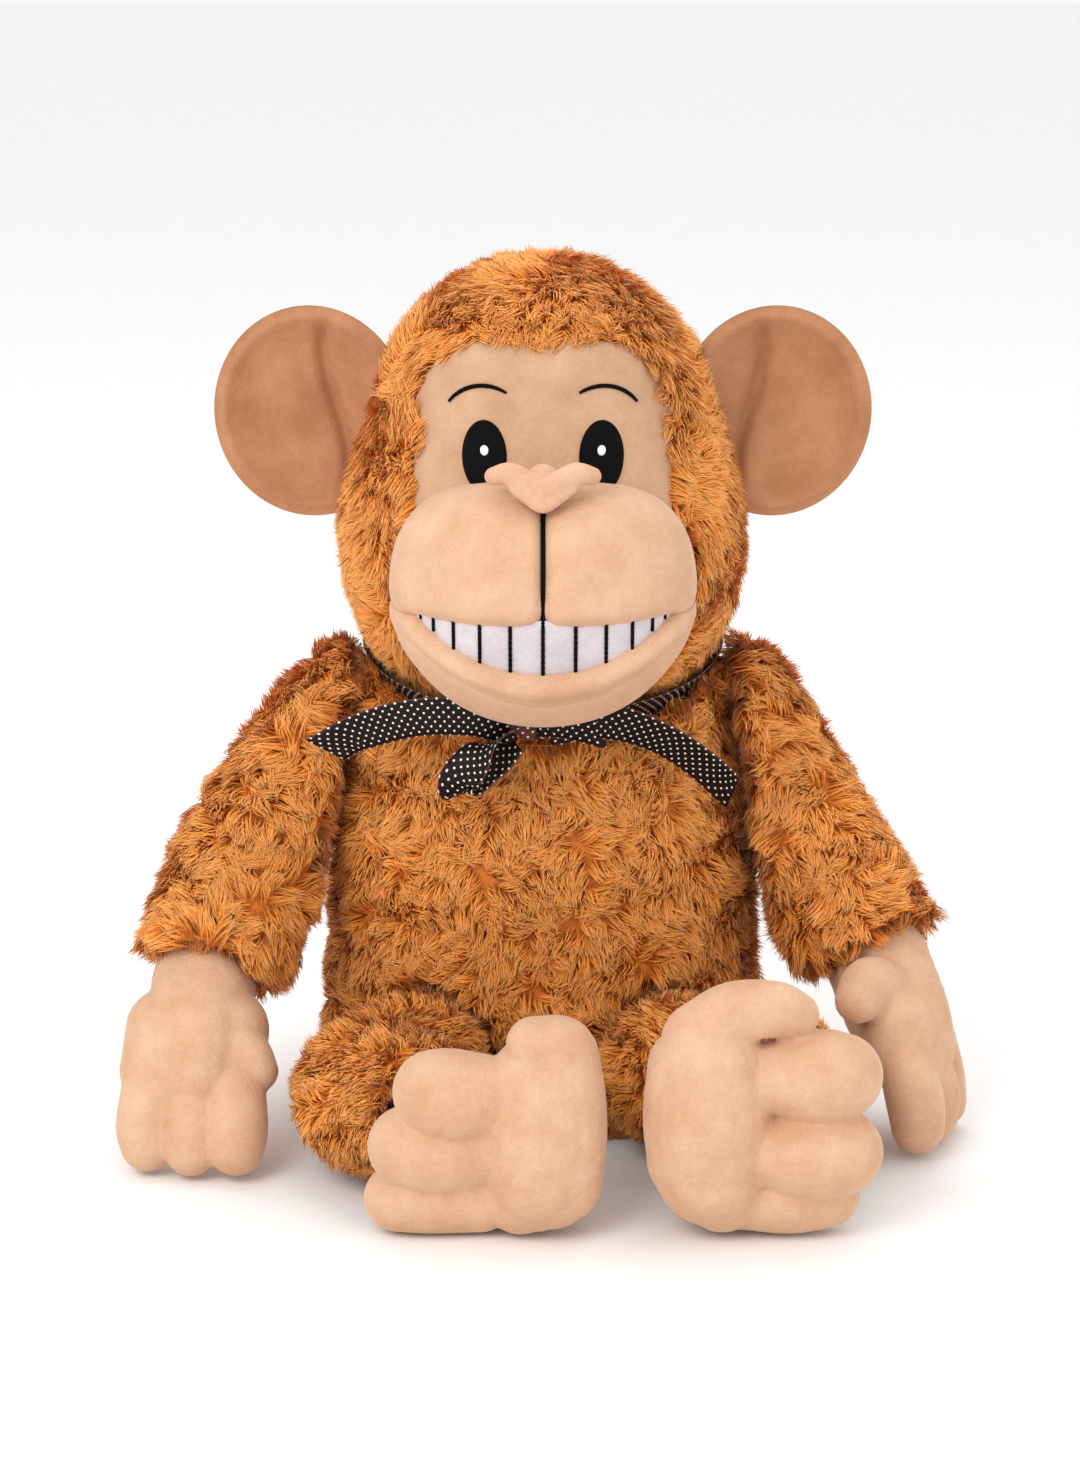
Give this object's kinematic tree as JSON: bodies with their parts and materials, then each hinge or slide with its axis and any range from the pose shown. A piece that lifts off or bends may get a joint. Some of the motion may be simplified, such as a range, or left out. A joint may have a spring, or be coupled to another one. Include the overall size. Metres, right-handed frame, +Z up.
{
  "type": "stuffed monkey",
  "caption": "Seated plush monkey with long-pile fur, velour face, muzzle, ears, hands and feet, a stitched smile and a dotted ribbon bow; head, ears and limbs turn at their seams.",
  "frame": {"origin": "middle of the flat seat, on the surface that the toy sits on", "axes": "+Z up; the toy faces -Y; +X is the toy's own left"},
  "size_m": [0.3999, 0.3035, 0.416],
  "materials": {
    "fur_fabric": "caramel long-pile plush, brushed into soft clumps",
    "velour": "peach short-pile velour",
    "ear_velour": "slightly darker peach velour",
    "teeth_velour": "off-white velour",
    "black_thread": "satin-stitched rayon thread",
    "white_thread": "satin-stitched rayon thread",
    "dotted_ribbon": "dark satin ribbon with small pale dots",
    "polyester_stuffing": "siliconised polyester fibre",
    "pouch_cloth": "plain woven cotton bag of pellets"
  },
  "bodies": {
    "torso": {"torso_front_panel": "fur_fabric", "torso_back_panel": "fur_fabric", "seat_panel": "fur_fabric", "torso_stuffing": "polyester_stuffing", "pellet_pouch": "pouch_cloth", "ribbon_collar": "dotted_ribbon", "ribbon_knot": "dotted_ribbon", "ribbon_loop_left": "dotted_ribbon", "ribbon_loop_right": "dotted_ribbon", "ribbon_tail_left": "dotted_ribbon", "ribbon_tail_right": "dotted_ribbon"},
    "neck": {"neck_stuffing": "polyester_stuffing"},
    "head": {"head_side_left": "fur_fabric", "head_side_right": "fur_fabric", "head_gusset": "fur_fabric", "head_stuffing": "polyester_stuffing", "face_patch": "velour", "muzzle_upper_left": "velour", "muzzle_upper_right": "velour", "muzzle_stuffing": "polyester_stuffing", "lower_lip": "velour", "teeth_panel": "teeth_velour", "tooth_stitching": "black_thread", "lip_seam_stitching": "black_thread", "nose": "velour", "eye_left": "black_thread", "eye_right": "black_thread", "eye_highlights": "white_thread", "brow_stitching": "black_thread"},
    "left_ear": {"ear_left_lining": "ear_velour", "ear_left_back": "velour", "ear_left_padding": "polyester_stuffing"},
    "left_arm": {"left_arm_front": "fur_fabric", "left_arm_back": "fur_fabric", "left_arm_stuffing": "polyester_stuffing"},
    "left_hand": {"hand_left_palm": "velour", "hand_left_back": "velour", "hand_left_stuffing": "polyester_stuffing"},
    "left_leg": {"left_leg_upper": "fur_fabric", "left_leg_lower": "fur_fabric", "left_leg_stuffing": "polyester_stuffing"},
    "left_foot": {"foot_left_sole": "velour", "foot_left_instep": "velour", "foot_left_stuffing": "polyester_stuffing"},
    "right_ear": {"ear_right_lining": "ear_velour", "ear_right_back": "velour", "ear_right_padding": "polyester_stuffing"},
    "right_arm": {"right_arm_front": "fur_fabric", "right_arm_back": "fur_fabric", "right_arm_stuffing": "polyester_stuffing"},
    "right_hand": {"hand_right_palm": "velour", "hand_right_back": "velour", "hand_right_stuffing": "polyester_stuffing"},
    "right_leg": {"right_leg_upper": "fur_fabric", "right_leg_lower": "fur_fabric", "right_leg_stuffing": "polyester_stuffing"},
    "right_foot": {"foot_right_sole": "velour", "foot_right_instep": "velour", "foot_right_stuffing": "polyester_stuffing"}
  },
  "joints": [
    {"name": "neck_turn", "type": "hinge", "parent": "torso", "child": "neck", "pos_m": [0, 0, 0.28], "axis": [0, 0, 1], "range_deg": [-30, 30]},
    {"name": "head_nod", "type": "hinge", "parent": "neck", "child": "head", "pos_m": [0, 0, 0.28], "axis": [1, 0, 0], "range_deg": [-20, 0]},
    {"name": "left_ear_fold", "type": "hinge", "parent": "head", "child": "left_ear", "pos_m": [0.08986, 0, 0.34], "axis": [0.2963, 0, -0.9551], "range_deg": [-25, 25]},
    {"name": "right_ear_fold", "type": "hinge", "parent": "head", "child": "right_ear", "pos_m": [-0.08986, 0, 0.34], "axis": [0.2963, 0, 0.9551], "range_deg": [-25, 25]},
    {"name": "left_arm_swing", "type": "hinge", "parent": "torso", "child": "left_arm", "pos_m": [0.0943, 0, 0.198], "axis": [-0.9848, 0, -0.1736], "range_deg": [-25, 50]},
    {"name": "right_arm_swing", "type": "hinge", "parent": "torso", "child": "right_arm", "pos_m": [-0.0943, 0, 0.198], "axis": [-0.9848, 0, 0.1736], "range_deg": [-25, 50]},
    {"name": "left_wrist_bend", "type": "hinge", "parent": "left_arm", "child": "left_hand", "pos_m": [0.16, -0.044, 0.08], "axis": [-1, 0, 0], "range_deg": [-25, 25]},
    {"name": "right_wrist_bend", "type": "hinge", "parent": "right_arm", "child": "right_hand", "pos_m": [-0.16, -0.064, 0.076], "axis": [-1, 0, 0], "range_deg": [-25, 25]},
    {"name": "left_leg_lift", "type": "hinge", "parent": "torso", "child": "left_leg", "pos_m": [0.062, -0.086, 0.042], "axis": [-1, 0, 0], "range_deg": [-15, 20]},
    {"name": "right_leg_lift", "type": "hinge", "parent": "torso", "child": "right_leg", "pos_m": [-0.06, -0.086, 0.042], "axis": [-1, 0, 0], "range_deg": [-15, 20]},
    {"name": "left_foot_flex", "type": "hinge", "parent": "left_leg", "child": "left_foot", "pos_m": [0.098, -0.166, 0.05], "axis": [-1, 0, 0], "range_deg": [-8, 15]},
    {"name": "right_foot_flex", "type": "hinge", "parent": "right_leg", "child": "right_foot", "pos_m": [-0.042, -0.166, 0.05], "axis": [-1, 0, 0], "range_deg": [-8, 15]}
  ]
}
